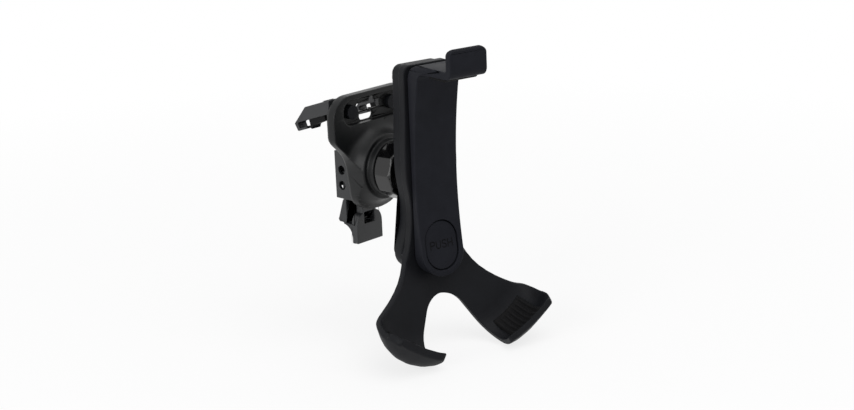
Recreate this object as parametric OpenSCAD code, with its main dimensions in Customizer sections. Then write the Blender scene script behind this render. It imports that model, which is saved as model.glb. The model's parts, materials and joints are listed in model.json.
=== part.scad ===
// Car phone holder: a Y-shaped cradle with two scooped feet and a spring-drawn
// top hook, carried by a ball joint on a clip that hooks over an air vent louvre.
// Millimetres. X is to the right, Y points away from the driver, Z is up.
// The origin is the point where the claws hold the louvre.

/* [Cradle housing] */
// Height of the housing column above the top of the arch
column_h = 59.3; // [58:0.1:64]
// Width of the housing column near its top
column_w = 14.4; // [14:0.1:15]
// Width of the column where it swells beside the ball joint
bulge_w = 15.6; // [15:0.1:16.4]
// Width of the column at its waist
waist_w = 13.4; // [13.2:0.1:14]
// Depth of the front shell
shell_d = 2.4; // [2.2:0.1:3]
// Depth of the rear cover
cover_d = 3.6; // [3.6:0.1:5]
// Wall thickness of the front shell and the rear cover
wall = 1.2; // [1:0.1:1.2]
// Distance by which the rear cover's edge is set in from the front shell's
cover_inset = 0.5; // [0.2:0.1:0.7]

/* [Legs and feet] */
// Angle of each leg from the vertical
splay = 30; // [28:0.5:32]
// Thickness of a leg and of its foot
leg_t = 1.8; // [1.5:0.1:2.2]
// Distance from the inner edge of a leg to the line through the arch top
leg_in = 3.3; // [3.1:0.1:3.9]
// Angle by which a leg leans forward before it turns into the foot
leg_lean = 21.8; // [19:0.2:24]
// Inner radius of the scooped foot
scoop_r = 9; // [8:0.1:10]
// Distance of the scoop's axis along the leg
scoop_s = 6.3; // [5.5:0.1:8]
// Distance of the scoop's axis in front of the housing
scoop_d = 13.8; // [13:0.1:15]
// Reach of the foot's front rim in front of the housing
foot_reach = 18; // [16.5:0.1:20]
// Distance from the line through the arch top to the outer edge of the foot
foot_out = 19.5; // [19:0.1:20.6]
// Radius of the outer front corner of the foot
foot_corner = 5; // [3:0.1:6]
// Thickness of the rubber pad in the foot
pad_t = 0.9; // [0.7:0.1:1.1]
// Number of grip ribs on a foot pad
pad_ribs = 7; // [4:1:9]

/* [Slider and hook] */
// Width of the slider
slider_w = 12.6; // [12.4:0.1:13.2]
// Height of the slider's lower end above the top of the arch
slider_low = 5.3; // [5.2:0.1:5.6]
// Distance of the slider's face in front of the housing at its middle
face_d = 2; // [1.9:0.1:2.4]
// Radius of the slider's hollow front face
face_r = 120; // [115:1:135]
// Gap between the slider and the front of the housing
slider_gap = 0.25; // [0.2:0.05:0.35]
// Travel of the slider
slider_travel = 23; // [14:1:23]
// Thickness of the slider's face
face_t = 1.1; // [0.9:0.1:1.2]
// Reach of the hook's paddle in front of the housing
hook_reach = 17.4; // [16:0.1:22]
// Thickness of the hook's arm
arm_t = 1.9; // [1.6:0.1:2.2]
// Width of the paddle
paddle_w = 11; // [10:0.1:12]
// Height of the paddle above the underside of the arm
paddle_h = 7.4; // [6:0.1:12]
// Thickness of the paddle
paddle_t = 1.9; // [1.4:0.1:2.2]
// Thickness of the rubber pad under the arm
hook_pad_t = 0.9; // [0.6:0.1:1.2]

/* [Push pad and latch] */
// Width of the oval push pad
button_w = 9.4; // [8:0.1:9.6]
// Height of the oval push pad
button_h = 12.2; // [11:0.1:12.4]
// Height of the push pad's centre above the top of the arch
button_up = 13.2; // [13:0.1:13.4]
// Gap round the push pad
button_gap = 0.25; // [0.2:0.05:0.3]
// Depth of the push pad's front below the slider's face
button_sink = 0.4; // [0.3:0.1:0.5]
// Travel of the push pad
button_travel = 0.8; // [0.7:0.05:0.8]
// Pitch of the latch teeth
tooth_pitch = 1.6; // [1.2:0.1:2]
// Depth of the latch teeth
tooth_d = 0.6; // [0.4:0.05:0.65]
// Number of latch teeth
tooth_n = 8; // [4:1:9]

/* [Ball joint and nut] */
// Radius of the ball
ball_r = 4.3; // [4.1:0.1:4.4]
// Radius of the ball's neck
neck_r = 2; // [1.8:0.1:2.1]
// Radius of the stem that turns in the rear cover
stem_r = 1.8; // [1.6:0.1:1.9]
// Distance from the ball's centre to the back of the rear cover
stem_reach = 7.5; // [7.4:0.1:9]
// Height of the ball's centre above the top of the arch
ball_up = 29.5; // [29:0.5:32]
// Turn of the cradle towards the driver, as the holder is set
yaw = 12; // [0:1:20]
// Width of the lock nut across its corners
nut_od = 15.2; // [14.8:0.1:17]
// Number of flats on the lock nut
nut_flats = 10; // [8:1:12]
// Length of the lock nut
nut_l = 5.8; // [5.5:0.1:5.9]
// Thickness of the ball seat
seat_t = 0.9; // [0.7:0.1:0.9]
// Half length of the ball seat
seat_half = 1.6; // [1.3:0.1:1.7]
// Running gap of the ball, the seat, the nut and the stem
fit_gap = 0.05; // [0.03:0.01:0.08]

/* [Vent clip] */
// Width of the clip's face plate across its top
plate_w = 28.8; // [28.5:0.1:32]
// Height of the plate's top above the ball's centre
plate_top = 19.7; // [19.4:0.1:21]
// Depth of the plate's lower end below the ball's centre
plate_low = 11.5; // [11:0.1:12.5]
// Depth of the plate
plate_d = 3.6; // [3.4:0.1:4.4]
// Distance from the ball's centre to the front of the face plate
plate_back = 8.9; // [8.6:0.1:10]
// Distance between the two claws, centre to centre
claw_pitch = 22; // [21.6:0.1:22.4]
// Width of a claw
claw_w = 3.2; // [2.8:0.1:3.6]
// Length of a claw behind the face plate
claw_l = 15; // [14:0.1:18]
// Height of a claw's arm
claw_h = 3.4; // [3:0.1:3.6]
// Angle by which the claws slope down behind the plate
claw_slope = 17.7; // [14:0.2:20]
// Height of the hook's throat, which takes a louvre
throat_h = 1.5; // [1.3:0.1:1.8]
// Gap between the pad's tooth and the hook
louvre_gap = 1.6; // [1.4:0.1:2]
// Distance between the two claw screws
boss_pitch = 14.4; // [14:0.1:15]
// Radius of a claw screw's head
boss_r = 1.8; // [1.6:0.1:2]

/* [Support foot] */
// Width of the support foot
support_w = 9.2; // [8.6:0.1:9.3]
// Width of the support foot's column
stalk_w = 5.5; // [5:0.1:6]
// Reach of the support foot below the ball's centre
support_low = 21.3; // [20.6:0.1:22.5]
// Width of the rear bracket that guides the foot
bracket_w = 11.5; // [11.4:0.1:12.5]
// Height of the rear bracket
bracket_h = 12.7; // [12:0.1:13.4]
// Depth of the rear bracket
bracket_d = 6.2; // [6:0.1:7]
// Wall thickness of the rear bracket
bracket_t = 1; // [0.8:0.1:1]
// Diameter of the setting holes
setting_dia = 2.4; // [1.8:0.1:2.6]
// Distance between the setting holes
setting_pitch = 4.1; // [3.6:0.1:4.2]
// Radius of the hollow that rests on the lower louvre
rest_r = 4; // [3.6:0.1:4.2]
// Travel of the support foot in the bracket
foot_travel = 4.1; // [3.6:0.1:4.2]

/* [Hidden] */
$fn = 64;
charcoal = [0.13, 0.14, 0.15];
soft_black = [0.09, 0.095, 0.1];
gloss_black = [0.05, 0.05, 0.055];
rubber_black = [0.07, 0.07, 0.07];
steel = [0.62, 0.63, 0.65];
// Length past which a cutting shape is clear of everything
clear = 90;
// Small overlap that makes a cut run through a face
nick = 0.1;
// Play between faces that slide on each other
play = 0.15;

// Points along a cubic curve with four control points
function curve(a, b, c, d, n = 10) = [
    for (i = [0 : n])
        let (t = i / n, u = 1 - t)
        a * u * u * u + 3 * b * u * u * t + 3 * c * u * t * t + d * t * t * t
];
// Points along an arc
function arc(centre, r, from, to, n = 8) = [
    for (i = [0 : n])
        let (t = from + (to - from) * i / n)
        centre + r * [cos(t), sin(t)]
];
// An outline's right half, followed by its mirror image
function both(half) = concat(half, [for (i = [len(half) - 1 : -1 : 0]) [-half[i][0], half[i][1]]]);

// An outline drawn as (right, up), from y = back forward by depth
module facing(back, depth) {
    translate([0, back, 0]) rotate([90, 0, 0]) linear_extrude(depth) children();
}
// A side profile drawn as (forward, up), drawn out across the width
module across_front(width) {
    rotate([90, 0, -90]) linear_extrude(width, center = true) children();
}
// A side profile drawn as (back, up), drawn out across the width
module across_back(width) {
    rotate([90, 0, 90]) linear_extrude(width, center = true) children();
}
// A round bar along Y from y = back forward by depth
module bar(r, back, depth) {
    translate([0, back, 0]) rotate([90, 0, 0]) cylinder(r = r, h = depth);
}
// A shape turned about Y, its profile drawn as (radius, forward)
module turned() {
    rotate([90, 0, 0]) rotate_extrude() children();
}
module block(x, y, z) {
    translate([x[0], y[0], z[0]]) cube([x[1] - x[0], y[1] - y[0], z[1] - z[0]]);
}
module round_rect(w, h, r) {
    square([w - 2 * r, h], center = true);
    square([w, h - 2 * r], center = true);
    for (x = [-1, 1], y = [-1, 1]) translate([x * (w / 2 - r), y * (h / 2 - r)]) circle(r);
}
module oval(w, h) {
    square([w, h - w], center = true);
    for (y = [-1, 1]) translate([0, y * (h - w) / 2]) circle(w / 2);
}
module on_side(side) {
    if (side > 0) mirror([1, 0, 0]) children();
    else children();
}
module pins(places, r, back, depth) {
    for (p = places) translate([p[0], 0, p[1]]) bar(r, back, depth);
}
// A coil of round wire standing along z
module coil(r, wire_r, height, turns, steps = 10, sides = 5) {
    n = turns * steps;
    rise = (height - 2 * wire_r) / n;
    points = [
        for (i = [0 : n], j = [0 : sides - 1])
            let (a = 360 * i / steps, b = 360 * j / sides, reach = r + wire_r * cos(b))
            [reach * cos(a), reach * sin(a), wire_r + rise * i + wire_r * sin(b)]
    ];
    faces = concat(
        [[for (j = [0 : sides - 1]) j]],
        [
            for (i = [0 : n - 1], j = [0 : sides - 1])
                let (k = (j + 1) % sides)
                [i * sides + j, (i + 1) * sides + j, (i + 1) * sides + k, i * sides + k]
        ],
        [[for (j = [sides - 1 : -1 : 0]) n * sides + j]]
    );
    polyhedron(points, faces, convexity = 10);
}

// Places of the two halves, measured from the ball's centre

plate_rear = plate_back + plate_d;
claw_root_up = plate_top - 0.86;
hook_l = claw_l - 4.1;
hook_tip = 1.3;
// A point in a claw's own sloping frame, as (back, up) from the ball's centre
function claw_point(x, z) = [plate_rear, claw_root_up]
    + x * [cos(claw_slope), -sin(claw_slope)] + z * [sin(claw_slope), cos(claw_slope)];
grip = claw_point((hook_l + claw_l - hook_tip) / 2, -claw_h - throat_h / 2);
housing_d = shell_d + cover_d;
front_back = stem_reach + housing_d;

// The clip's own frame: centre of the ball at the origin
module in_clip() {
    translate([0, -grip[0], -grip[1]]) children();
}
// The ball's frame, turned with the cradle
module at_ball() {
    in_clip() rotate([0, 0, -yaw]) children();
}
// The cradle's own frame: front of the housing at y = 0, top of the arch at z = 0
module in_cradle() {
    at_ball() translate([0, -front_back, -ball_up]) children();
}

// Cradle housing

waist_up = 22.3;
bulge_up = 33.8;
top_corner = 2.2;
inside_w = 10.8;
inside_low = 6.7;
inside_top = 52.6;
slot_w = 6.4;
slot_low = 8.2;
carriage_low = 8.8;
carriage_h = 19;
slot_top = carriage_low + carriage_h + slider_travel + 0.4;
screw_places = [[4.7, column_h - 3.7], [-4.7, column_h - 3.7], [6.5, 11.6], [-6.5, 11.6]];
screw_r = 0.7;
head_r = 1.2;
head_h = 0.7;
spring_x = -4.2;
spring_back = 3.7;
post_up = 9.8;
post_r = 0.5;

// Right edge of the column, from its top to its waist, set in by a distance
function column_edge(inset) =
    let (hw = column_w / 2 - inset, bw = bulge_w / 2 - inset, ww = waist_w / 2 - inset, top = column_h - inset)
    concat(
        arc([hw - top_corner, top - top_corner], top_corner, 90, 0),
        curve([hw, top - top_corner], [hw, bulge_up + 12.2], [bw, bulge_up + 8], [bw, bulge_up]),
        curve([bw, bulge_up], [bw, bulge_up - 5], [ww, waist_up + 5.1], [ww, waist_up])
    );

leg_dir = [sin(splay), -cos(splay)];
out_dir = [cos(splay), sin(splay)];
function leg_point(s, w) = s * leg_dir + w * out_dir;
function mirrored(p) = [-p[0], p[1]];
scoop_out_r = scoop_r + leg_t;
arch_r = leg_in / (1 - sin(splay));
arch_meet = -arch_r * leg_dir[1];
leg_end = 29;
shoulder = [15.8, 2.2];
// Places along the leg where its front and its back leave the column's planes
crease_s = scoop_s + scoop_r * sin(leg_lean) - (scoop_d - scoop_r * cos(leg_lean)) / tan(leg_lean);
back_s = crease_s - (shell_d - leg_t / cos(leg_lean)) / tan(leg_lean);

// Side profile of a leg and its scooped foot, drawn as (along the leg, forward)
module leg_profile() {
    axis = [scoop_s, scoop_d];
    meet = [sin(leg_lean), -cos(leg_lean)];
    back = [-cos(leg_lean), -sin(leg_lean)];
    run = (scoop_d - scoop_r * cos(leg_lean)) / sin(leg_lean) + 0.5;
    far = 2 * scoop_out_r;
    step = 0.03;
    polygon([
        [back_s - 1, step - shell_d], [back_s - 1, 0], [crease_s, 0],
        [crease_s + leg_t * sin(leg_lean), -leg_t * cos(leg_lean)], [back_s + step / tan(leg_lean), step - shell_d]
    ]);
    polygon([
        axis + scoop_r * meet, axis + scoop_out_r * meet,
        axis + scoop_out_r * meet + run * back, axis + scoop_r * meet + run * back
    ]);
    intersection() {
        translate(axis) difference() {
            circle(scoop_out_r, $fn = 128);
            circle(scoop_r, $fn = 128);
        }
        polygon([axis, axis + far * meet, axis + [far, -far], axis + [far, far], axis + [far / 3, far]]);
    }
}
// Front outline of the whole Y
module y_outline() {
    difference() {
        polygon(both(concat(
            column_edge(0),
            curve([waist_w / 2, waist_up], [waist_w / 2, 15], [8.6, 5.8], shoulder),
            curve(shoulder, leg_point(10, foot_out - 2.3), leg_point(12.6, foot_out - 0.6), leg_point(15.5, foot_out)),
            [leg_point(leg_end, foot_out), leg_point(leg_end, 0)]
        )));
        translate([0, -arch_r]) circle(arch_r);
        polygon([
            [0, -arch_r], leg_point(arch_meet, leg_in), leg_point(leg_end + 1, leg_in), [0, -2 * leg_end],
            mirrored(leg_point(leg_end + 1, leg_in)), mirrored(leg_point(arch_meet, leg_in))
        ]);
    }
}
// The part of the front outline that stays in the plane of the column
module flat_part() {
    end_s = back_s - 0.1;
    side = leg_point(end_s, clear);
    polygon([[0, end_s / leg_dir[1]], side, [0, clear], mirrored(side)]);
}
// Plan of a foot, drawn as (outwards, forward), with round front corners
module foot_plan() {
    inner = 1.5;
    past = 0.02;
    mid = foot_out - foot_corner + past;
    near = leg_in + inner - past;
    translate([0, -clear]) square([foot_out + past, clear + foot_reach - foot_corner]);
    translate([0, -clear]) square([mid, clear + foot_reach - inner]);
    translate([near, -clear]) square([mid - near, clear + foot_reach]);
    translate([mid, foot_reach - foot_corner]) circle(foot_corner);
    translate([near, foot_reach - inner]) circle(inner);
}
// The left leg's frame: x along the leg, y forward, z outwards across the leg
module in_leg() {
    rotate([180, 90 + splay, 0]) children();
}
module left_leg() {
    intersection() {
        in_leg() linear_extrude(3 * foot_out, center = true) leg_profile();
        in_leg() rotate([0, -90, 0]) linear_extrude(clear, center = true) foot_plan();
        facing(shell_d, clear) intersection() {
            y_outline();
            translate([-clear, -clear]) square([clear, 2 * clear]);
        }
    }
}
module inside_outline(low) {
    r = inside_w / 2;
    translate([-r, low + r]) square([inside_w, inside_top - low - r]);
    translate([0, low + r]) circle(r);
}

module cradle_front() {
    color(charcoal) in_cradle() {
        difference() {
            union() {
                facing(shell_d, shell_d) intersection() {
                    y_outline();
                    flat_part();
                }
                for (side = [-1, 1]) on_side(side) left_leg();
            }
            facing(shell_d + nick, shell_d - wall + nick) inside_outline(inside_low);
            facing(wall + nick, clear) translate([0, (slot_low + slot_top) / 2]) oval(slot_w, slot_top - slot_low);
            pins(screw_places, screw_r, shell_d + nick, 1.7 + nick);
        }
        translate([spring_x, 0, post_up]) bar(post_r, housing_d - wall, housing_d - 1.5 * wall);
    }
}

module rear_cover() {
    side = 8.4;
    side_up = 10.8;
    low = 5.5;
    edge = waist_w / 2 - cover_inset;
    color(charcoal) in_cradle() difference() {
        facing(housing_d, cover_d) polygon(both(concat(
            column_edge(cover_inset),
            curve([edge, waist_up], [edge, 16], [side, 14.5], [side, side_up]),
            curve([side, side_up], [side, 7.5], [4.7, low], [0, low])
        )));
        facing(housing_d - wall, cover_d - wall + nick) inside_outline(inside_low);
        translate([0, 0, ball_up]) bar(stem_r + fit_gap, housing_d + nick, wall + 2 * nick);
        pins(screw_places, screw_r, housing_d + nick, cover_d + 2 * nick);
        pins(screw_places, head_r + play, housing_d + nick, head_h + 2 * nick);
    }
}

module cover_screws() {
    color(steel) in_cradle() difference() {
        union() {
            pins(screw_places, head_r, housing_d - nick, head_h);
            pins(screw_places, screw_r, housing_d - head_h - nick, cover_d - head_h - nick + 1.6);
        }
        for (p = screw_places, turn = [0, 90]) translate([p[0], housing_d - nick, p[1]]) rotate([0, turn, 0])
            cube([1.6, 0.7, 0.35], center = true);
    }
}

module latch_rack() {
    from = button_up + slider_travel - (tooth_n - 1) * tooth_pitch;
    color(soft_black) in_cradle() translate([(rack_x[0] + rack_x[1]) / 2, 0, 0])
        across_back(rack_x[1] - rack_x[0]) polygon(concat(
            [[wall, from + tooth_n * tooth_pitch], [wall, from]],
            [
                for (i = [0 : tooth_n - 1], step = [0, 1])
                    [wall + (step == 0 ? 0.2 : tooth_d), from + tooth_pitch * (i + [0.05, 0.9][step])]
            ]
        ));
}

// Foot pads: ribbed rubber laid in the scoops

module foot_pad() {
    from = -46;
    sweep = 70;
    inner = 5.8;
    outer = foot_out - 3.6;
    rib = (outer - inner) / pad_ribs;
    low = scoop_r - pad_t;
    in_leg() translate([scoop_s, scoop_d, 0]) rotate([0, 0, from]) rotate_extrude(angle = sweep, $fn = 128)
        polygon(concat(
            [[scoop_r, inner], [scoop_r, outer]],
            [
                for (i = [pad_ribs - 1 : -1 : 0], step = [0 : 3])
                    [step == 0 || step == 3 ? low + pad_t / 2 : low, inner + rib * (i + [0.9, 0.7, 0.4, 0.2][step])]
            ]
        ));
}
module foot_pad_left() {
    color(rubber_black) in_cradle() foot_pad();
}
module foot_pad_right() {
    color(rubber_black) in_cradle() mirror([1, 0, 0]) foot_pad();
}

// Slider with its hook

slider_top = column_h - 1.4;
slider_mid = (slider_low + slider_top) / 2;
fillet = 2.3;
fillet_up = slider_top - fillet;
join_low = 20.5;
join_top = carriage_low + carriage_h;
function face_at(z) = face_d + face_r - sqrt(face_r * face_r - (z - slider_mid) * (z - slider_mid));
// Everything in front of the slider's hollow face, or of a surface behind it
module face_cut(depth) {
    translate([face_d + face_r, slider_mid]) circle(face_r + depth, $fn = 720);
}
module slider_profile() {
    arm_top = slider_top + arm_t;
    top = slider_top + paddle_h;
    back_r = 4.3;
    heel = 2;
    inner = 0.7;
    neck_d = face_at(fillet_up);
    difference() {
        polygon(concat(
            [[slider_gap, slider_low], [slider_gap, arm_top - back_r]],
            arc([slider_gap + back_r, arm_top - back_r], back_r, 180, 90),
            arc([hook_reach - paddle_t - inner, arm_top + inner], inner, -90, 0, 4),
            arc([hook_reach - paddle_t / 2, top - paddle_t / 2], paddle_t / 2, 180, 0),
            arc([hook_reach - heel, slider_top + heel], heel, 0, -90),
            arc([neck_d + fillet, fillet_up], fillet, 90, 180),
            [[neck_d, slider_low]]
        ));
        intersection() {
            face_cut(0);
            square([clear, fillet_up]);
        }
    }
}
module slider_outline() {
    r = slider_w / 2;
    low = slider_low + r;
    corner = 1.3;
    top_h = 6;
    translate([0, low]) circle(r);
    translate([-r, low]) square([slider_w, slider_top + arm_t - corner - low]);
    translate([0, slider_top + arm_t - top_h / 2]) round_rect(slider_w, top_h, corner);
    translate([0, slider_top + paddle_h / 2]) round_rect(paddle_w, paddle_h, 2);
}
// Plan of the hook, drawn as (right, forward): the arm narrows towards the paddle
module hook_plan() {
    w = paddle_w / 2 - 0.05;
    polygon(both([[slider_w, -1], [slider_w, 5], [slider_w / 2 + 0.2, 5], [w, hook_reach - 4.5], [w, clear]]));
}
carriage_places = [[-2, 23], [2, 23]];
side_t = 0.9;
pocket_w = slider_w - 2 * side_t;
module pocket_outline() {
    low = slider_low + face_t;
    top = slider_top - 6;
    difference() {
        translate([0, (low + top) / 2]) oval(pocket_w, top - low);
        translate([-clear, join_low]) square([2 * clear, join_top - join_low]);
    }
}
module slider_plate() {
    color(charcoal) in_cradle() difference() {
        intersection() {
            across_front(slider_w) slider_profile();
            facing(clear / 2, clear) slider_outline();
            mirror([0, 1, 0]) linear_extrude(clear) hook_plan();
        }
        intersection() {
            across_front(pocket_w) difference() {
                square([clear / 4, clear]);
                face_cut(face_t);
            }
            facing(0, clear) pocket_outline();
        }
        facing(0, clear / 4) translate([0, button_up]) oval(button_w + 2 * button_gap, button_h + 2 * button_gap);
        pins(carriage_places, screw_r, 0, 1.6);
    }
}

rear_face = 2.35;
stem_hole_r = 1.1;
module slider_carriage() {
    neck_w = slot_w - 2 * play;
    flange_w = 8.2;
    color(soft_black) in_cradle() difference() {
        union() {
            block([-flange_w / 2, flange_w / 2], [wall + play, rear_face], [post_up + post_r + play, join_top]);
            block([-neck_w / 2, neck_w / 2], [-slider_gap, rear_face], [join_low + play, join_top - neck_w / 2]);
            intersection() {
                block([-neck_w / 2, neck_w / 2], [0, rear_face], [slot_low, join_top]);
                facing(clear, 2 * clear) translate([0, carriage_low + carriage_h / 2]) oval(neck_w, carriage_h);
            }
            block([-4.9, -3.5], [rear_face - nick, rear_face + 2.1], [join_top - 1.2, join_top]);
            block([-4.9, -3.5], [wall + play, rear_face], [join_top - 1.2, join_top]);
        }
        translate([0, 0, button_up]) bar(stem_hole_r + fit_gap, clear, 2 * clear);
        pins(carriage_places, screw_r, clear, 2 * clear);
        pins(carriage_places, head_r + play, rear_face + nick, head_h + nick);
    }
}

module carriage_screws() {
    color(steel) in_cradle() {
        pins(carriage_places, head_r, rear_face, head_h);
        pins(carriage_places, screw_r, rear_face - head_h + nick, rear_face - head_h + nick + 1.5);
    }
}

module hook_pad() {
    from = face_at(fillet_up) + fillet + 0.5;
    to = hook_reach - 2.4;
    rib = 1.4;
    low = slider_top - hook_pad_t;
    n = floor((to - from) / rib);
    color(rubber_black) in_cradle() across_front(paddle_w - 1.6) polygon(concat(
        [[from + n * rib, slider_top], [from, slider_top]],
        [for (i = [0 : n - 1], step = [0 : 2]) [from + rib * (i + [0.1, 0.5, 0.9][step]), low + [0.3, 0, 0.3][step]]]
    ));
}

// Push pad, latch and springs

button_back = face_at(button_up) - face_t - 0.8;
bar_front = rear_face + 0.05;
bar_t = 0.5;
rack_x = [4.4, 5.3];
module push_button() {
    lip = 0.6;
    color(charcoal) in_cradle() {
        intersection() {
            facing(0, clear / 4) translate([0, button_up]) oval(button_w, button_h);
            across_front(button_w) difference() {
                translate([button_back, 0]) square([clear / 4, clear]);
                face_cut(button_sink);
            }
        }
        intersection() {
            facing(0, clear / 4) translate([0, button_up]) oval(pocket_w - 2 * play, button_h + 2 * lip);
            across_front(slider_w) difference() {
                translate([button_back, 0]) square([clear / 4, clear]);
                face_cut(face_t + nick);
            }
        }
        translate([0, 0, button_up]) bar(stem_hole_r, bar_front, bar_front + button_back + nick);
        translate([0, 0, button_up]) bar(0.6, bar_front + bar_t, bar_t + nick);
    }
}

module button_spring() {
    color(steel) in_cradle() translate([0, 0, button_up]) rotate([90, 0, 0])
        coil(1.6, 0.1, button_back - button_travel - 0.05, 2, 16, 6);
}

module latch_bar() {
    low = button_up - 2;
    tip = wall + tooth_d + play;
    tooth_x = [rack_x[0] + 0.15, rack_x[1] - 0.15];
    color(steel) in_cradle() difference() {
        union() {
            block([-1.8, tooth_x[1]], [bar_front, bar_front + bar_t], [low, low + 4]);
            translate([(tooth_x[0] + tooth_x[1]) / 2, 0, 0]) across_back(tooth_x[1] - tooth_x[0]) polygon([
                [bar_front + nick, low + 0.6], [tip, button_up - 0.7], [tip, button_up - 0.2], [bar_front + nick, low + 3]
            ]);
        }
        translate([0, 0, button_up]) bar(0.6, clear, 2 * clear);
    }
}

module pull_spring() {
    low = post_up + post_r;
    color(steel) in_cradle() translate([spring_x, spring_back, low]) coil(0.8, 0.15, join_top - 1.2 - low, 16);
}

// Ball stud, seat and nut

flange_r = 4.5;
flange_t = 0.9;
washer_t = 0.4;
clip_t = 0.45;
groove_r = 1.3;
clip_back = -stem_reach - wall - 0.05;
module ball_stud() {
    color(soft_black) at_ball() difference() {
        union() {
            sphere(ball_r, $fn = 96);
            bar(neck_r, 0, stem_reach - washer_t);
            bar(stem_r, 0, clip_t + 0.3 - clip_back);
            bar(flange_r, washer_t + flange_t - stem_reach, flange_t);
        }
        translate([0, clip_back, 0]) rotate([90, 0, 0]) difference() {
            cylinder(r = stem_r + 1, h = clip_t);
            translate([0, 0, -1]) cylinder(r = groove_r, h = clip_t + 2);
        }
    }
}
module stud_washer() {
    color(steel) at_ball() difference() {
        bar(flange_r - 0.6, washer_t - stem_reach, washer_t);
        bar(stem_r + 0.2, 0, clear);
    }
}
module stud_clip() {
    color(steel) at_ball() difference() {
        bar(stem_r + 0.8, clip_back, clip_t);
        bar(groove_r + 0.1, 0, clear);
        block([-0.9, 0.9], [-clear, 0], [0, clear]);
    }
}
seat_in = ball_r + fit_gap;
seat_out = seat_in + seat_t;
module ball_seat() {
    color(soft_black) at_ball() difference() {
        intersection() {
            sphere(seat_out, $fn = 96);
            cube([clear, 2 * seat_half, clear], center = true);
        }
        sphere(seat_in, $fn = 96);
        block([-0.3, 0.3], [-clear, clear], [0, clear]);
    }
}
collar_r = 6.4;
collar_front = 2.3;
nut_front = nut_l / 2;
nut_lip = 4.8;
module lock_nut() {
    bevel = 0.65;
    r = nut_od / 2;
    color(gloss_black) in_clip() difference() {
        intersection() {
            rotate([90, 0, 0]) linear_extrude(nut_l, center = true) polygon([
                for (i = [0 : nut_flats - 1]) r * [cos(360 * i / nut_flats), sin(360 * i / nut_flats)]
            ]);
            turned() polygon([
                [0, -nut_front - nick], [r - bevel - nick, -nut_front - nick], [r + nick, bevel + nick - nut_front],
                [r + nick, nut_front - bevel - nick], [r - bevel - nick, nut_front + nick], [0, nut_front + nick]
            ]);
        }
        bar(collar_r + fit_gap, nut_l, nut_l + collar_front + nick);
        bar(nut_lip, nut_l, 2 * nut_l);
    }
}

// Clip face plate with its dome and collar

slot_up = 15.1;
slot_h = 6.5;
recess = 1.8;
boss_places = [[-boss_pitch / 2, slot_up], [boss_pitch / 2, slot_up]];
bracket_places = [[-3.1, 1.2], [3.1, 1.2]];
function plate_edge(inset) =
    let (hw = plate_w / 2 - inset, top = plate_top - inset, low = inset - plate_low, corner = 5.8 - inset)
    concat(
        arc([hw - corner, top - corner], corner, 90, 0),
        curve([hw, 9.4 + inset], [hw, 6.5 + inset], [9.1 - inset, 5.8], [8.5 - inset, -1]),
        curve([8.5 - inset, -1], [8.1 - inset, -4], [7.9 - inset, -5.5], [7.7 - inset, -7]),
        curve([7.7 - inset, -7], [7.4 - inset, -9.6], [5.5 - inset, low], [0, low])
    );
module dome() {
    ledge_r = 8.4;
    ledge = 5.1;
    turned() polygon(concat(
        [[0, -plate_back - 1], [12.2, -plate_back - 1]],
        curve([12.2, -plate_back], [9.5, -plate_back], [8.9, -5.9], [ledge_r, -ledge]),
        [[7.4, -ledge], [7.2, -nut_front - 0.3], [0, -nut_front - 0.3]]
    ));
}
module clip_face() {
    color(soft_black) in_clip() difference() {
        union() {
            facing(plate_rear, plate_d) polygon(both(plate_edge(0)));
            intersection() {
                dome();
                facing(plate_rear, clear) polygon(both(plate_edge(0)));
            }
            bar(collar_r, plate_back, plate_back + collar_front);
        }
        sphere(seat_out + fit_gap, $fn = 96);
        for (turn = [45, 135]) rotate([0, turn, 0]) block([-clear, clear], [-clear, 2.2], [-0.35, 0.35]);
        facing(plate_back + recess, clear) translate([0, slot_up]) round_rect(21.6, slot_h, 2.9);
        facing(clear, 2 * clear) {
            translate([-0.35, slot_up + 0.4]) round_rect(8.4, 2, 0.2);
            translate([0.9, slot_up + 1.7]) circle(0.85);
            translate([-1.4, slot_up - 1.9]) rotate(90) oval(2.3, 4.7);
        }
        facing(plate_rear + nick, 1 + nick) difference() {
            polygon(both(plate_edge(1.2)));
            translate([-clear, -clear]) square([2 * clear, clear + 6.5]);
            for (p = boss_places) translate(p) circle(2.5);
        }
        pins(boss_places, 0.95, clear, 2 * clear);
        pins(bracket_places, screw_r, plate_rear + nick, 2.3);
    }
}

// Claws that hook over the louvre

module claw_profile() {
    heel = -claw_h - throat_h;
    rotate(-claw_slope) polygon([
        [-2, 0], [hook_l - 1.4, 0], [claw_l, -claw_h], [claw_l - 0.6, heel - 0.65], [hook_l, heel - 0.65],
        [hook_l, heel], [claw_l - hook_tip, heel], [claw_l - hook_tip + 0.2, -claw_h - 0.3],
        [claw_l - hook_tip - 0.3, -claw_h], [-2, -claw_h]
    ]);
}
lug_t = 1.4;
module claw(side) {
    color(soft_black) in_clip() difference() {
        union() {
            intersection() {
                translate([side * claw_pitch / 2, 0, 0]) across_back(claw_w)
                    translate([plate_rear, claw_root_up]) claw_profile();
                block([-clear, clear], [plate_rear, clear], [-clear, clear]);
            }
            translate([side * (boss_pitch / 2 + 1.6), plate_rear + lug_t / 2, slot_up + 0.9])
                cube([6.8, lug_t, 4.8], center = true);
        }
        pins(boss_places, 0.95, clear, 2 * clear);
    }
}
module claw_left() {
    claw(-1);
}
module claw_right() {
    claw(1);
}
module claw_pad(side) {
    to = hook_l - louvre_gap;
    low = -claw_h - 1.6;
    from = (lug_t + play - low * sin(claw_slope)) / cos(claw_slope);
    color(rubber_black) in_clip() translate([side * claw_pitch / 2, 0, 0]) across_back(claw_w - 0.4)
        translate([plate_rear, claw_root_up]) rotate(-claw_slope) polygon([
            [from, -claw_h], [from, low + 0.3], [to - 1.6, low], [to - 1, low - 0.15],
            [to - 0.4, low - 0.9], [to, low - 0.8], [to, -claw_h]
        ]);
}
module claw_pad_left() {
    claw_pad(-1);
}
module claw_pad_right() {
    claw_pad(1);
}
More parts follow.
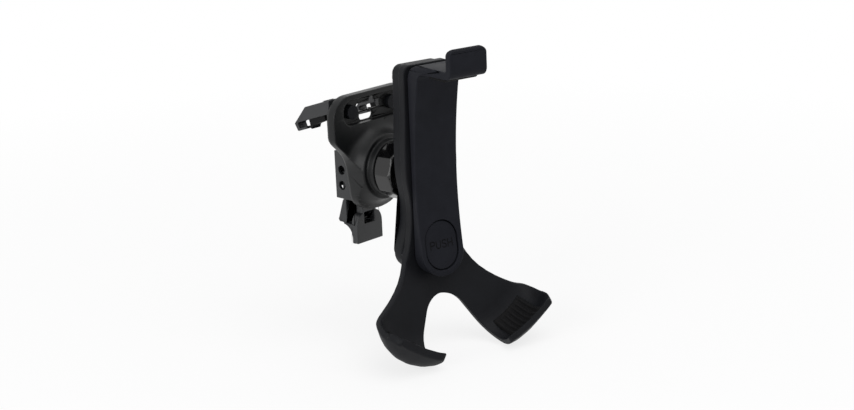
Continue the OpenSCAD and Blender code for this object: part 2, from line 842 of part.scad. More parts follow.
module claw_screws() {
    color(soft_black) in_clip() {
        pins(boss_places, boss_r, plate_back + recess, recess - 0.4);
        pins(boss_places, 0.9, plate_rear + lug_t + nick, plate_d - recess + lug_t + 2 * nick);
        pins(boss_places, 1.5, plate_rear + lug_t + 0.9, 0.9);
    }
}

// Rear bracket and support foot

bracket_top = 3.5;
bracket_rear = plate_rear + bracket_d;
bracket_low = bracket_top - bracket_h;
module rear_bracket() {
    inside = bracket_w / 2 - bracket_t;
    gate = stalk_w / 2 + 0.3;
    color(soft_black) in_clip() difference() {
        block([-bracket_w / 2, bracket_w / 2], [plate_rear, bracket_rear], [bracket_low, bracket_top]);
        block(
            [-inside, inside], [plate_rear + bracket_t, bracket_rear - bracket_t],
            [bracket_low - 1, bracket_top - bracket_t]
        );
        block([-gate, gate], [plate_rear - 1, plate_rear + 2], [bracket_low - 1, -1.8]);
        block([-inside, inside], [plate_rear - 1, clear], [bracket_low - 1, heel_up + 3 + foot_travel]);
        for (i = [0, 1]) translate([0, plate_rear + 3.9, bracket_top - 5 - i * setting_pitch]) rotate([0, 90, 0])
            cylinder(d = setting_dia, h = 2 * bracket_w, center = true);
        pins(bracket_places, screw_r, clear, 2 * clear);
    }
}
module bracket_screws() {
    back = plate_rear + bracket_t;
    color(steel) in_clip() {
        pins(bracket_places, 1, back + 0.6, 0.6);
        pins(bracket_places, screw_r, back + nick, bracket_t + 2 + nick);
    }
}

foot_front = plate_rear + 0.2;
foot_rear = bracket_rear - bracket_t - play;
foot_top = bracket_low + 7;
foot_heel = foot_rear + 1.9;
rest = [foot_heel - 1.2, 0.2 + rest_r - support_low];
heel_up = rest[1] + rest_r - 0.1;
rest_from = 85;
rest_to = 183;
rest_t = 0.6;
rest_trim = 13;
half_foot = support_w / 2;
module foot_side() {
    polygon(concat(
        [
            [foot_front, foot_top], [foot_rear, foot_top], [foot_rear, heel_up + 2.8],
            [foot_heel, heel_up + 0.4], [foot_heel - 0.4, heel_up]
        ],
        arc(rest, rest_r, rest_from, rest_to, 10),
        [[foot_front, -support_low]]
    ));
}
module support_foot() {
    stalk_t = 2.2;
    web_t = 1;
    low = rest[1] + 3.4;
    color(soft_black) in_clip() difference() {
        intersection() {
            across_back(support_w) foot_side();
            union() {
                facing(foot_front + stalk_t, stalk_t) polygon(both(concat(
                    [[stalk_w / 2, bracket_low + 3], [stalk_w / 2, low + 3]],
                    curve([stalk_w / 2, low + 3], [stalk_w / 2, low + 1.4], [half_foot, low + 1.8], [half_foot, low]),
                    [[half_foot, -support_low]]
                )));
                block([-0.7, 0.7], [foot_front + 1, foot_rear], [low - 1, foot_top]);
                block([-half_foot, half_foot], [foot_rear - web_t, clear], [-support_low, foot_top]);
                block([-half_foot, half_foot], [foot_front, clear], [-support_low, low]);
            }
        }
        facing(clear, 2 * clear) translate([0, low + 2.1]) square([3.9, 3.2], center = true);
        facing(clear, 2 * clear) translate([0, low + 4.6]) circle(0.5);
    }
}
module support_pad() {
    color(rubber_black) in_clip() across_back(support_w - 0.8)
        polygon(concat(
            arc(rest, rest_r - fit_gap, rest_from + rest_trim, rest_to - rest_trim),
            arc(rest, rest_r - rest_t, rest_to - rest_trim, rest_from + rest_trim)
        ));
}

cradle_front();
rear_cover();
cover_screws();
latch_rack();
foot_pad_left();
foot_pad_right();
pull_spring();
slider_plate();
slider_carriage();
carriage_screws();
hook_pad();
push_button();
button_spring();
latch_bar();
ball_stud();
stud_washer();
stud_clip();
ball_seat();
lock_nut();
clip_face();
claw_left();
claw_right();
claw_pad_left();
claw_pad_right();
claw_screws();
rear_bracket();
bracket_screws();
support_foot();
support_pad();
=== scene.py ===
import json
import math

import bmesh
import bpy
import numpy as np
from mathutils import Matrix, Vector
from mathutils.bvhtree import BVHTree


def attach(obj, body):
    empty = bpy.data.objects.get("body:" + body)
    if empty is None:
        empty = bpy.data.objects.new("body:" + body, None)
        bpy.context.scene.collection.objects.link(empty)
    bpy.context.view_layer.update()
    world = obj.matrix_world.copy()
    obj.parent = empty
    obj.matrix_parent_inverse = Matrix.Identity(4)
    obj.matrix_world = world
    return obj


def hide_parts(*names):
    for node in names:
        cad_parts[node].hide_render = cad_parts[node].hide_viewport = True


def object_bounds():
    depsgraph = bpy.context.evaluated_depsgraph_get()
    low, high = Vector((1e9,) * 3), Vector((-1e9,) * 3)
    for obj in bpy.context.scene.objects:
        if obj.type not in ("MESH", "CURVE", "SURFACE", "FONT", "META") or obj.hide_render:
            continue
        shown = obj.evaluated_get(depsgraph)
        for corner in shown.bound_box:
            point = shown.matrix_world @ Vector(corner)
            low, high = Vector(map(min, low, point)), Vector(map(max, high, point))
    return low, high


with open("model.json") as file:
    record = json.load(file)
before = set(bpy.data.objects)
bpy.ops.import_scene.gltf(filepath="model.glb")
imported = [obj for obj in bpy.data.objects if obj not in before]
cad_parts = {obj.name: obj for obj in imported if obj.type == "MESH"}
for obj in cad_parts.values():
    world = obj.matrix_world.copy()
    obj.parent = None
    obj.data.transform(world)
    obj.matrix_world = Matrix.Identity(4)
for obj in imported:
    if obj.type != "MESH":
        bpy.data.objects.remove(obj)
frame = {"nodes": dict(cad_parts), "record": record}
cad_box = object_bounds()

MM = 0.001
BALL = Vector((0, -22.956, -11.147))  # the ball's centre, in mm
BODY = {
    node: body
    for body, nodes in frame["record"]["behaviour"]["bodies"].items()
    for node in nodes
}


def link(obj):
    bpy.context.scene.collection.objects.link(obj)
    return obj


# Camera, fitted to the photograph's outlines: angles in degrees, places in mm
AZIMUTH, ELEVATION, ROLL = -45.99, 16.13, 2.41
DISTANCE, RIGHT, UP = 459.09, 6.42, -9.11
PHOTO_WIDTH, FOCAL_LENGTH = 854, 1800  # in pixels
SENSOR = 36
CLIP_NEAR, CLIP_FAR = 0.02, 20  # in metres


def make_camera():
    a, e, roll = (math.radians(v) for v in (AZIMUTH, ELEVATION, ROLL))
    back = Vector((math.sin(a) * math.cos(e), -math.cos(a) * math.cos(e), math.sin(e)))
    level = (-back).cross(Vector((0, 0, 1))).normalized()
    plumb = level.cross(-back)
    right = level * math.cos(roll) - plumb * math.sin(roll)
    up = plumb * math.cos(roll) + level * math.sin(roll)
    place = (BALL + back * DISTANCE + right * RIGHT + up * UP) * MM
    data = bpy.data.cameras.new("photo_camera")
    data.sensor_width = SENSOR
    data.lens = FOCAL_LENGTH * SENSOR / PHOTO_WIDTH
    data.clip_start, data.clip_end = CLIP_NEAR, CLIP_FAR
    camera = link(bpy.data.objects.new("photo_camera", data))
    rows = [[right[i], up[i], back[i], place[i]] for i in range(3)]
    camera.matrix_world = Matrix(rows + [[0, 0, 0, 1]])
    bpy.context.scene.camera = camera


# Nodes
def feed(tree, socket, value):
    """Links an output to a node's socket, or sets the socket's own value."""
    if isinstance(value, bpy.types.NodeSocket):
        tree.links.new(value, socket)
    else:
        socket.default_value = value


def add(tree, kind, inputs, **settings):
    node = tree.nodes.new(kind)
    for key, value in settings.items():
        setattr(node, key, value)
    for key, value in inputs.items():
        feed(tree, node.inputs[key], value)
    return node


def maths(tree, operation, first, second):
    return add(tree, "ShaderNodeMath", {0: first, 1: second}, operation=operation).outputs[0]


def noise(tree, place, scale, detail=3.0, rough=0.5):
    inputs = {"Vector": place, "Scale": scale, "Detail": detail, "Roughness": rough}
    return add(tree, "ShaderNodeTexNoise", inputs).outputs["Fac"]


def spread(tree, source, low, high, to_low, to_high):
    """Maps a value from one range to another, and holds it there past the ends."""
    inputs = {
        "Value": source, "From Min": low, "From Max": high, "To Min": to_low, "To Max": to_high,
    }
    return add(tree, "ShaderNodeMapRange", inputs).outputs["Result"]


def blend(tree, share, first, second):
    """A colour between two others."""
    node = add(tree, "ShaderNodeMix", {}, data_type="RGBA")
    feed(tree, node.inputs["Factor"], share)
    for socket, colour in zip([s for s in node.inputs if s.type == "RGBA"], (first, second)):
        feed(tree, socket, colour)
    return [s for s in node.outputs if s.type == "RGBA"][0]


# Finishes
EDGE_RADIUS = 0.35 * MM  # reach of the rubbed edges
GRAIN_RELIEF = 0.04 * MM
PATCH_SCALE, TONE_SCALE, MARK_SCALE = 90.0, 260.0, 700.0
SMOOTHER, ROUGHER, POLISH = 0.06, 0.07, 0.15  # steps of roughness


def moulded_group():
    """A mould's fine grain, slow patches of roughness, handling marks and rubbed edges."""
    number, direction = "NodeSocketFloat", "NodeSocketVector"
    tree = bpy.data.node_groups.new("moulded", "ShaderNodeTree")
    for label, value in (("Grain", 5000.0), ("Depth", 0.1), ("Rough", 0.5), ("Wear", 0.3)):
        socket = tree.interface.new_socket(label, in_out="INPUT", socket_type=number)
        socket.default_value = value
    for label in ("Shade", "Roughness", "Normal", "Edge"):
        kind = direction if label == "Normal" else number
        tree.interface.new_socket(label, in_out="OUTPUT", socket_type=kind)
    given = tree.nodes.new("NodeGroupInput").outputs
    result = tree.nodes.new("NodeGroupOutput").inputs

    place = tree.nodes.new("ShaderNodeTexCoord").outputs["Object"]
    grain = noise(tree, place, given["Grain"], 2.0)
    patches = noise(tree, place, PATCH_SCALE, 4.0, 0.55)
    tones = noise(tree, place, TONE_SCALE, 5.0, 0.6)
    marks = noise(tree, place, MARK_SCALE, 3.0, 0.7)

    facing = tree.nodes.new("ShaderNodeNewGeometry").outputs["Normal"]
    eased = add(tree, "ShaderNodeBevel", {"Radius": EDGE_RADIUS}, samples=4).outputs[0]
    turned = add(tree, "ShaderNodeVectorMath", {0: eased, 1: facing}, operation="DOT_PRODUCT")
    edge = spread(tree, turned.outputs["Value"], 0.995, 0.8, 0.0, 1.0)
    broken = maths(tree, "MULTIPLY", edge, spread(tree, marks, 0.35, 0.7, 0.2, 1.0))
    worn = maths(tree, "MULTIPLY", broken, given["Wear"])
    bump = add(tree, "ShaderNodeBump", {
        "Height": grain, "Strength": given["Depth"], "Distance": GRAIN_RELIEF, "Normal": eased,
    })

    low = maths(tree, "SUBTRACT", given["Rough"], SMOOTHER)
    high = maths(tree, "ADD", given["Rough"], ROUGHER)
    rough = spread(tree, patches, 0.3, 0.7, low, high)
    polished = maths(tree, "SUBTRACT", rough, maths(tree, "MULTIPLY", worn, POLISH))

    feed(tree, result["Shade"], spread(tree, tones, 0.3, 0.7, 0.0, 1.0))
    feed(tree, result["Roughness"], polished)
    feed(tree, result["Normal"], bump.outputs[0])
    feed(tree, result["Edge"], worn)
    return tree


MOULDED = moulded_group()


def linear(tone):
    """Screen values from 0 to 255 as linear light."""
    return [((c / 255 + 0.055) / 1.055) ** 2.4 if c > 10 else c / 255 / 12.92 for c in tone]


def finish(
    name, tone, rough, grain=5200.0, depth=0.25, wear=0.3, specular=0.5, vary=0.12, metallic=0.0,
):
    mat = bpy.data.materials.new(name)
    mat.use_nodes = True
    tree = mat.node_tree
    inputs = {"Grain": grain, "Depth": depth, "Rough": rough, "Wear": wear}
    surface = add(tree, "ShaderNodeGroup", inputs, node_tree=MOULDED).outputs
    dark, light = ([c * share for c in linear(tone)] + [1] for share in (1 - vary, 1 + vary))
    rubbed = linear([min(255, c * 1.9 + 12) for c in tone]) + [1]
    colour = blend(tree, surface["Edge"], blend(tree, surface["Shade"], dark, light), rubbed)
    shader = tree.nodes["Principled BSDF"].inputs
    feed(tree, shader["Base Color"], colour)
    feed(tree, shader["Roughness"], surface["Roughness"])
    feed(tree, shader["Normal"], surface["Normal"])
    shader["Specular IOR Level"].default_value = specular
    shader["Metallic"].default_value = metallic
    return mat


CLIP_GRAIN = {"grain": 4200.0, "depth": 0.12}
METAL = {"grain": 9000.0, "depth": 0.08, "wear": 0.4, "vary": 0.08, "metallic": 1.0}
RUBBER = {"grain": 3600.0, "depth": 0.5, "wear": 0.15, "specular": 0.12}
INK = {"grain": 3600.0, "depth": 0.3, "wear": 0.1, "specular": 0.1}
GLOSS = {"grain": 2500.0, "depth": 0.04, "wear": 0.5}
# Each finish's tone, roughness and other values
FINISHES = {
    "charcoal_moulding": ((20, 21, 24), 0.5, {"specular": 0.1}),
    "slider_moulding": ((28, 29, 34), 0.55, {"specular": 0.06}),
    "clip_moulding": ((15, 16, 17), 0.4, {**CLIP_GRAIN, "specular": 0.22}),
    # the clip's plastic again in a lighter tone: painted light on the claws, bracket and support
    # foot, whose sides face the left lamp
    "clip_moulding_painted_light": ((34, 35, 37), 0.4, {**CLIP_GRAIN, "specular": 0.45}),
    "gloss_moulding": ((9, 9, 10), 0.12, GLOSS),
    "rubber": ((17, 17, 18), 0.75, RUBBER),
    "engraved": ((8, 8, 9), 0.7, INK),
    "spring_steel": ((150, 152, 156), 0.3, METAL),
    "zinc_screw": ((120, 120, 122), 0.38, METAL),
}
MATERIAL = {
    name: finish(name, tone, rough, **rest) for name, (tone, rough, rest) in FINISHES.items()
}


# New pieces
def meshed(name, bm):
    mesh = bpy.data.meshes.new(name)
    bm.to_mesh(mesh)
    bm.free()
    return link(bpy.data.objects.new(name, mesh))


def settle(obj, finish_name, body, *nodes):
    """Gives a new piece its finish, its body and the nodes that it stands for."""
    obj.data.materials.clear()
    obj.data.materials.append(MATERIAL[finish_name])
    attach(obj, body)
    if nodes:
        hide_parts(*nodes)


def slab(bm, near, far):
    """A closed slab between two outlines that match point by point."""
    near, far = ([bm.verts.new(p) for p in outline] for outline in (near, far))
    bm.faces.new(near)
    bm.faces.new(far[::-1])
    for i in range(len(near)):
        j = (i + 1) % len(near)
        bm.faces.new((near[j], near[i], far[i], far[j]))


ROUND_ANGLE = math.radians(32)  # an edge sharper than this is rounded
ROUND_STEPS = 3
NORMAL_WEIGHT = 80


def rounded(obj, width, steps=ROUND_STEPS):
    edges = obj.modifiers.new("edges", "BEVEL")
    edges.width = width * MM
    edges.segments = steps
    edges.limit_method = "ANGLE"
    edges.angle_limit = ROUND_ANGLE
    edges.use_clamp_overlap = False
    edges.miter_outer = "MITER_ARC"


def weighted(obj):
    obj.modifiers.new("normals", "WEIGHTED_NORMAL").weight = NORMAL_WEIGHT


def round_off(bm, edges, width, steps, **miter):
    bmesh.ops.bevel(
        bm, geom=edges, offset=width * MM, segments=steps, profile=0.5, affect="EDGES",
        clamp_overlap=False, material=-1, **miter,
    )


# The cradle's own frame, in mm: x right, d forward of the housing, z above the arch
YAW = math.radians(12)
FRONT_BACK, BALL_UP = 13.5, 29.5


def to_cradle(co):
    p = co / MM - np.array(BALL)
    c, s = math.cos(YAW), math.sin(YAW)
    x, y = p[:, 0] * c - p[:, 1] * s, p[:, 0] * s + p[:, 1] * c
    return np.stack([x, -y - FRONT_BACK, p[:, 2] + BALL_UP], 1)


def from_cradle(q):
    q = np.array(q, float)
    c, s = math.cos(YAW), math.sin(YAW)
    x, y = q[:, 0], -q[:, 1] - FRONT_BACK
    p = np.stack([x * c + y * s, -x * s + y * c, q[:, 2] - BALL_UP], 1)
    return (p + np.array(BALL)) * MM


# A leg's own frame, in mm: its side, down along it, forward, and outward across it
SPLAY = math.radians(30)
SIN, COS = math.sin(SPLAY), math.cos(SPLAY)


def to_leg(q):
    side = np.where(q[:, 0] < 0, -1, 1)
    x, d, z = np.abs(q[:, 0]), q[:, 1], q[:, 2]
    return side, x * SIN - z * COS, d, x * COS + z * SIN


def from_leg(side, down, d, out):
    return np.stack([side * (down * SIN + out * COS), d, -down * COS + out * SIN], 1)


def smooth(v, low, high):
    t = np.clip((v - low) / (high - low), 0, 1)
    return t * t * (3 - 2 * t)


LEG_FROM = 3  # nothing bends above this place on the leg
BOWL_OUT = [3.3, 6, 10, 14, 17, 19.5]
BOWL_DEPTH = [0.2, 1.3, 1.8, 1.4, 0.2, -2.1]
LIP_SHARE = 0.45  # how much shallower the bowl is at its lip
CURL, CURL_FROM, CURL_LENGTH = 2.0, 12.5, 5.5
WAIST = 0.4
# The solid's front corner, and the fuller one that the foot gets
CORNER, CORNER_FROM, CORNER_OUT, CORNER_EDGE, CORNER_TRIM = 5, 13, 8, 19.5, 1.5


def cupped(co):
    """Feet as bowls: deeper in the middle, with a curled lip and a full front corner."""
    q = to_cradle(co)
    side, down, d, out = to_leg(q)
    bowl = np.interp(out, BOWL_OUT, BOWL_DEPTH)
    bowl = np.where(bowl > 0, bowl * (1 - LIP_SHARE * smooth(d, 13, 18)), bowl)
    bowl = bowl * smooth(down, 7, 15) * smooth(d, 1, 6)
    curl = CURL * np.clip((d - CURL_FROM) / CURL_LENGTH, 0, 1) ** 1.5

    past = np.clip(d - CORNER_FROM, 0, CORNER)
    edge = CORNER_EDGE - CORNER + np.sqrt(CORNER ** 2 - past ** 2)
    full = CORNER_EDGE - CORNER_TRIM * (past / CORNER) ** 3
    at_corner = (out > CORNER_OUT) & (d > CORNER_FROM)
    wider = np.where(at_corner, (full - CORNER_OUT) / (edge - CORNER_OUT), 1.0)
    new_out = np.where(out > CORNER_OUT, CORNER_OUT + (out - CORNER_OUT) * wider, out)
    narrow = smooth(down, 3, 8) * (1 - smooth(down, 12, 15)) * smooth(out, 9, 15)
    new_out = new_out - WAIST * narrow
    new_down = down + bowl - curl * smooth(down, 7, 12)

    foot = (down > LEG_FROM)[:, None]
    return from_cradle(np.where(foot, from_leg(side, new_down, d, new_out), q))


SCOOP_DOWN, SCOOP_D = 6.3, 13.8  # the scoop's centre, seen from the side
PAD_R, SUNK_R = 8.99, 9.05  # the ribs' outermost points, and where they are sunk to


def cupped_pad(co):
    """The pad's ribs run out before the pad's ends."""
    side, down, d, out = to_leg(to_cradle(co))
    r = np.hypot(down - SCOOP_DOWN, d - SCOOP_D)
    turn = np.degrees(np.arctan2(d - SCOOP_D, down - SCOOP_DOWN))
    ribbed = smooth(turn, -50, -34) * (1 - smooth(turn, 0, 16))
    new_r = np.maximum(r, SUNK_R - (SUNK_R - r) * ribbed)
    k = np.where(r < PAD_R, new_r / r, 1.0)
    down, d = SCOOP_DOWN + (down - SCOOP_DOWN) * k, SCOOP_D + (d - SCOOP_D) * k
    return cupped(from_cradle(from_leg(side, down, d, out)))


CUTS_OUT = np.arange(4.5, 19.4, 1.0)
CUTS_FORWARD = (8, 10, 12, 13, 14, 15, 16, 17)
CUT_DOWN, CUT_D = 12, 5  # a place on each cut across a foot


def cut(bm, point, normal):
    start, end = from_cradle([point, np.add(point, normal)])
    bmesh.ops.bisect_plane(
        bm, geom=[*bm.verts, *bm.edges, *bm.faces], dist=1e-6,
        plane_co=Vector(start), plane_no=Vector(end - start).normalized(),
    )


def cut_feet(bm):
    """Adds loops across the feet, so that they can bend both ways."""
    for side in (-1, 1):
        for out in CUTS_OUT:
            x, z = out * COS + CUT_DOWN * SIN, out * SIN - CUT_DOWN * COS
            cut(bm, (side * x, CUT_D, z), (side * COS, 0, SIN))
    for d in CUTS_FORWARD:
        cut(bm, (0, d, 0), (0, 1, 0))


# Nodes shown again with the rounded edges of a moulding
MERGE, FLAT = 2e-6, 0.004  # metres, radians
PLATE_FRONT_Y = 12.4  # nothing of the rim lies further forward
RAY_START = 0.1


def plate_rim(front):
    """Picks the whole outer edge of the clip's face plate, at its front or at its back."""
    def is_rim(edge, tree):
        walls = [f for f in edge.link_faces if abs(f.normal.y) < 0.3]
        if not walls or max(v.co.y for v in walls[0].verts) < (BALL.y + PLATE_FRONT_Y) * MM:
            return False
        wall = walls[0]
        other = [f for f in edge.link_faces if f is not wall][0]
        if (other.normal.y > -0.3) if front else (other.normal.y < 0.7):
            return False
        start = wall.calc_center_median() + wall.normal * RAY_START * MM
        return tree.ray_cast(start, wall.normal)[0] is None

    return is_rim


def softened(node, finish_name, width, bend=None, rims=()):
    """A node's shape again with rounded edges, as it comes out of a mould."""
    bm = bmesh.new()
    bm.from_mesh(frame["nodes"][node].data)
    bmesh.ops.remove_doubles(bm, verts=bm.verts, dist=MERGE)
    bmesh.ops.dissolve_limit(bm, angle_limit=FLAT, verts=bm.verts, edges=bm.edges)
    bm.normal_update()
    if rims:
        bmesh.ops.triangulate(bm, faces=[f for f in bm.faces if len(f.verts) > 4])
    for is_rim, offset, steps in rims:
        tree = BVHTree.FromBMesh(bm)
        edges = [e for e in bm.edges if len(e.link_faces) == 2 and is_rim(e, tree)]
        round_off(bm, edges, offset, steps)
        bm.normal_update()
    if bend:
        sharp = [
            e for e in bm.edges if len(e.link_faces) == 2 and e.calc_face_angle(0) > ROUND_ANGLE
        ]
        round_off(bm, sharp, width, ROUND_STEPS, miter_outer="ARC")
        cut_feet(bm)
        for v, place in zip(bm.verts, bend(np.array([v.co for v in bm.verts], float))):
            v.co = place
    for f in bm.faces:
        f.smooth = True
        f.material_index = 0
    obj = meshed(node + "_soft", bm)
    settle(obj, finish_name, BODY[node], node)
    if not bend:
        rounded(obj, width)
    weighted(obj)


softened("cradle_front", "charcoal_moulding", 0.3, bend=cupped)
softened("rear_cover", "charcoal_moulding", 0.5)
softened("slider_plate", "slider_moulding", 0.25)
softened("push_button", "slider_moulding", 0.2)
softened(
    "clip_face", "clip_moulding", 0.25,
    rims=[(plate_rim(front=False), 1.7, 4), (plate_rim(front=True), 0.8, 4)],
)
# the claws and bracket take the lighter copy of the clip's plastic, painted light for their lit
# sides
softened("claw_left", "clip_moulding_painted_light", 0.2)
softened("claw_right", "clip_moulding_painted_light", 0.2)
softened("rear_bracket", "clip_moulding_painted_light", 0.12)
softened("lock_nut", "gloss_moulding", 0.2)
softened("foot_pad_left", "rubber", 0.08, bend=cupped_pad)
softened("foot_pad_right", "rubber", 0.08, bend=cupped_pad)

# Nodes that keep their own mesh, and get a finish
KEPT = {
    "charcoal_moulding": ("latch_rack", "slider_carriage", "claw_screws"),
    "clip_moulding": ("ball_stud", "ball_seat"),
    "rubber": ("hook_pad", "claw_pad_left", "claw_pad_right"),
    "spring_steel": ("pull_spring", "button_spring", "latch_bar", "stud_washer", "stud_clip"),
    "zinc_screw": ("cover_screws", "carriage_screws", "bracket_screws"),
}
for finish_name, nodes in KEPT.items():
    for node in nodes:
        for slot in frame["nodes"][node].material_slots:
            slot.material = MATERIAL[finish_name]


# Support foot: a framed column over a winged toe, with a hollow for the lower louvre.
# Places in mm from the ball's centre: x right, back, and up.
def prism(name, outline, axis, low, high):
    """An outline of (back, up) drawn along x, or of (x, up) drawn along the back."""
    bm = bmesh.new()
    ends = []
    for t in (low, high):
        places = [(t, u, v) if axis == "x" else (u, t, v) for u, v in outline]
        ends.append([(BALL + Vector(p)) * MM for p in places])
    slab(bm, *ends)
    bmesh.ops.recalc_face_normals(bm, faces=bm.faces)
    return meshed(name, bm)


def combine(obj, other, how):
    cutter = obj.modifiers.new("cut", "BOOLEAN")
    cutter.operation = how
    cutter.solver = "EXACT"
    cutter.object = other
    bpy.context.view_layer.update()
    made = obj.evaluated_get(bpy.context.evaluated_depsgraph_get())
    mesh = bpy.data.meshes.new_from_object(made)
    obj.modifiers.clear()
    obj.data = mesh
    bpy.data.objects.remove(other)


def both(outline):
    """An outline's right half, with its mirror image."""
    return outline + [(-x, up) for x, up in outline[::-1]]


def bow(a, b, c, d, steps=8):
    """Points of a curve from a to d that b and c pull towards them."""
    a, b, c, d = (np.array(v, float) for v in (a, b, c, d))
    return [
        tuple(a * (1 - t) ** 3 + 3 * b * t * (1 - t) ** 2 + 3 * c * t * t * (1 - t) + d * t ** 3)
        for t in np.linspace(0, 1, steps + 1)
    ]


def arc(centre, r, start, end, steps):
    turns = [math.radians(a) for a in np.linspace(start, end, steps)]
    return [(centre[0] + r * math.cos(a), centre[1] + r * math.sin(a)) for a in turns]


FRONT, REAR, HALF = 12.7, 17.55, 4.6
TOP, SOLE, BELOW, BEHIND = -2.2, -21.3, -22, 21
HOLLOW, HOLLOW_R = (18.6, -20.1), 4.0
STALK_HALF, STALK_TOP, STALK_LOW, STALK_DEPTH = 2.5, -6.3, -13.2, 2.2
WINDOW_HALF, WINDOW_LOW, WINDOW_DEPTH = 1.85, -16.3, 3.6
DOT, DOT_R, DOT_DEPTH = (0, -11.9), 0.55, 1.2
BACK_HALF, BACK_DEPTH = HALF - 0.15, 4.0
WEB_HALF = 0.6
TOE_HALF, TOE_TOP = HALF - 0.01, -16.2
PAD_HALF, PAD_OUTER, PAD_INNER = 4.1, 3.97, 3.4


def support():
    heel = [(REAR, -9.7), (REAR + 0.4, -10.2), (19.6, -14.9), (19.7, -15.6), (19.3, -16.1)]
    side = [(FRONT, TOP), (REAR, TOP), *heel, *arc(HOLLOW, HOLLOW_R, 84, 190, 14)]
    side += [(14.6, SOLE), (FRONT, SOLE)]
    shoulder = bow((2.6, -13.4), (3.3, -13.4), (HALF, -14.4), (HALF, -16.8))
    column = [(STALK_HALF, STALK_TOP), (STALK_HALF, STALK_LOW), *shoulder, (HALF, BELOW)]
    wings = [(BACK_HALF, -1), (BACK_HALF, -15), (HALF, -15.3), (HALF, BELOW)]
    web = [(FRONT + 1, -2.4), (REAR - 0.2, -2.4), (REAR - 0.2, -17), (FRONT + 1, -19)]
    window = [(WINDOW_HALF, STALK_LOW), (WINDOW_HALF, WINDOW_LOW)]

    foot = prism("support_foot_soft", side, "x", -HALF, HALF)
    face = prism("outline", both(column), "y", FRONT - 1, FRONT + STALK_DEPTH)
    combine(foot, face, "INTERSECT")
    back = prism("rest", side, "x", -HALF, HALF)
    combine(back, prism("outline", both(wings), "y", FRONT + BACK_DEPTH, BEHIND), "INTERSECT")
    combine(foot, back, "UNION")
    combine(foot, prism("web", web, "x", -WEB_HALF, WEB_HALF), "UNION")
    toe = prism("toe", side, "x", -TOE_HALF, TOE_HALF)
    low = both([(HALF, TOE_TOP), (HALF, BELOW)])
    combine(toe, prism("outline", low, "y", FRONT + 1, BEHIND), "INTERSECT")
    combine(foot, toe, "UNION")
    hole = prism("window", both(window), "y", FRONT - 1, FRONT + WINDOW_DEPTH)
    combine(foot, hole, "DIFFERENCE")
    dot = prism("dot", arc(DOT, DOT_R, 0, 345, 24), "y", FRONT - 1, FRONT + DOT_DEPTH)
    combine(foot, dot, "DIFFERENCE")
    for f in foot.data.polygons:
        f.use_smooth = True
    # the support foot takes the lighter copy of the clip's plastic, painted light for its lit
    # sides
    settle(foot, "clip_moulding_painted_light", "foot", "support_foot")
    rounded(foot, 0.18)
    weighted(foot)

    strip = arc(HOLLOW, PAD_OUTER, 96, 176, 12) + arc(HOLLOW, PAD_INNER, 176, 96, 12)
    pad = prism("support_pad_soft", strip, "x", -PAD_HALF, PAD_HALF)
    settle(pad, "rubber", "foot", "support_pad")
    rounded(pad, 0.08, 2)
    weighted(pad)


support()


# The word on the push pad, in plain strokes on a square of 1 by 1
STROKES = {
    "P": [[(0, 0), (0, 1), (0.6, 1), (0.92, 0.92), (1, 0.75), (0.92, 0.58), (0.6, 0.5), (0, 0.5)]],
    "U": [[(0, 1), (0, 0.32), (0.12, 0.1), (0.35, 0), (0.65, 0), (0.88, 0.1), (1, 0.32), (1, 1)]],
    "S": [[
        (0.96, 0.84), (0.8, 0.97), (0.5, 1), (0.2, 0.96), (0.04, 0.8), (0.12, 0.62), (0.5, 0.52),
        (0.88, 0.4), (0.97, 0.22), (0.82, 0.05), (0.5, 0), (0.18, 0.04), (0.03, 0.18),
    ]],
    "H": [[(0, 0), (0, 1)], [(1, 0), (1, 1)], [(0, 0.5), (1, 0.5)]],
}
WORD, WORD_LEFT, WORD_LOW = "PUSH", -3.25, 12.45
LETTER_WIDTH, LETTER_HEIGHT, LETTER_GAP = 1.25, 1.85, 0.5
STROKE_WIDTH, STROKE_END = 0.27, 0.4  # a stroke's end passes its point by this share of its width
STROKE_SUNK, STROKE_PROUD = -0.06, 0.012
BEFORE_PAD = 60.0  # well in front of the pad, in mm


def pad_surface():
    """Finds the depth of the push pad's front at a place of the cradle's front, in mm."""
    mesh = frame["nodes"]["push_button"].data
    faces = [p.vertices for p in mesh.polygons]
    tree = BVHTree.FromPolygons([v.co for v in mesh.vertices], faces)

    def depth(x, z):
        start, end = from_cradle([[x, BEFORE_PAD, z], [x, 0, z]])
        at = tree.ray_cast(Vector(start), Vector(end - start).normalized())[0]
        return to_cradle(np.array([at], float))[0][1]

    return depth


def word():
    bm = bmesh.new()
    depth = pad_surface()
    for k, letter in enumerate(WORD):
        left = WORD_LEFT + k * (LETTER_WIDTH + LETTER_GAP)
        for line in STROKES[letter]:
            points = [
                np.array((left + x * LETTER_WIDTH, WORD_LOW + z * LETTER_HEIGHT)) for x, z in line
            ]
            for a, b in zip(points, points[1:]):
                along = (b - a) / np.linalg.norm(b - a) * STROKE_WIDTH
                aside = np.array([-along[1], along[0]]) / 2
                a, b = a - along * STROKE_END, b + along * STROKE_END
                ring = [a + aside, a - aside, b - aside, b + aside]
                sides = [
                    [Vector(p) for p in from_cradle([[x, depth(x, z) + lift, z] for x, z in ring])]
                    for lift in (STROKE_SUNK, STROKE_PROUD)
                ]
                slab(bm, *sides)
    bmesh.ops.recalc_face_normals(bm, faces=bm.faces)
    settle(meshed("pad_word", bm), "engraved", "button")


word()


# Studio: a pale floor, a soft sky and three lamps
MIDDLE = Vector((0, -0.03, 0.0))
LAMPS = {  # place from the middle, side in metres, watts
    "key_left": ((-0.9, -0.05, 0.25), 0.6, 4.2),
    "top": ((0.0, -0.5, 1.0), 1.0, 5.4),
    "rim_right": ((0.8, 0.5, 0.5), 0.6, 0.8),
}
FLOOR_RADIUS, FLOOR_GAP = 6.0, 0.0003
FLOOR_TONES = (0.96, 0.96, 0.965, 1), (0.985, 0.985, 0.985, 1)
NEAR, FAR, NEAR_GLOW = 0.08, 0.3, 0.78  # the floor turns white between these distances
SKY_LOW, SKY_HIGH = 0.1, 0.6


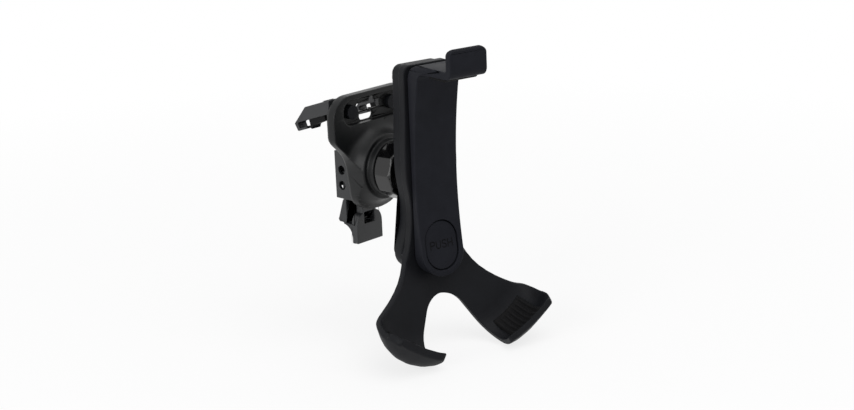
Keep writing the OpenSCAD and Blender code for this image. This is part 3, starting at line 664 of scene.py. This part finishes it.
def background(tree, to_object, seen):
    """seen where the camera or a gloss sees the background, to_object where it gives light."""
    path = tree.nodes.new("ShaderNodeLightPath").outputs
    ray = path["Is Camera Ray"]
    for kind in ("Is Glossy Ray", "Is Transmission Ray"):
        ray = maths(tree, "MAXIMUM", ray, path[kind])
    return spread(tree, ray, 0, 1, to_object, seen)


def floor_finish():
    mat = bpy.data.materials.new("floor")
    mat.use_nodes = True
    tree = mat.node_tree
    place = tree.nodes.new("ShaderNodeTexCoord").outputs["Object"]
    matt = tree.nodes["Principled BSDF"]
    matt.inputs["Roughness"].default_value = 0.9
    matt.inputs["Specular IOR Level"].default_value = 0.0
    feed(tree, matt.inputs["Base Color"], blend(tree, noise(tree, place, 8.0), *FLOOR_TONES))
    glow = add(tree, "ShaderNodeEmission", {})
    away = add(tree, "ShaderNodeVectorMath", {0: place}, operation="LENGTH").outputs["Value"]
    share = background(tree, 0, spread(tree, away, NEAR, FAR, NEAR_GLOW, 1))
    mixed = add(tree, "ShaderNodeMixShader", {0: share, 1: matt.outputs[0], 2: glow.outputs[0]})
    feed(tree, tree.nodes["Material Output"].inputs["Surface"], mixed.outputs[0])
    return mat


def studio():
    low, high = cad_box
    middle = (low + high) / 2
    bm = bmesh.new()
    bmesh.ops.create_circle(
        bm, cap_ends=True, segments=64, radius=FLOOR_RADIUS,
        matrix=Matrix.Translation((middle.x, middle.y, low.z - FLOOR_GAP)),
    )
    floor = meshed("floor", bm)
    floor.data.materials.append(floor_finish())

    world = bpy.data.worlds.new("studio")
    bpy.context.scene.world = world
    world.use_nodes = True
    tree = world.node_tree
    direction = tree.nodes.new("ShaderNodeTexCoord").outputs["Generated"]
    up = add(tree, "ShaderNodeSeparateXYZ", {0: direction}).outputs["Z"]
    sky = tree.nodes["Background"].inputs
    sky["Color"].default_value = (1, 1, 1, 1)
    soft = spread(tree, up, 0.0, 0.9, SKY_LOW, SKY_HIGH)
    feed(tree, sky["Strength"], background(tree, soft, 1.0))

    for name, (place, size, power) in LAMPS.items():
        data = bpy.data.lights.new(name, "AREA")
        data.size = size
        data.energy = power
        lamp = link(bpy.data.objects.new(name, data))
        lamp.location = MIDDLE + Vector(place)
        lamp.rotation_euler = (-Vector(place)).to_track_quat("-Z", "Y").to_euler()


make_camera()
studio()
bpy.context.scene.view_settings.view_transform = "Standard"
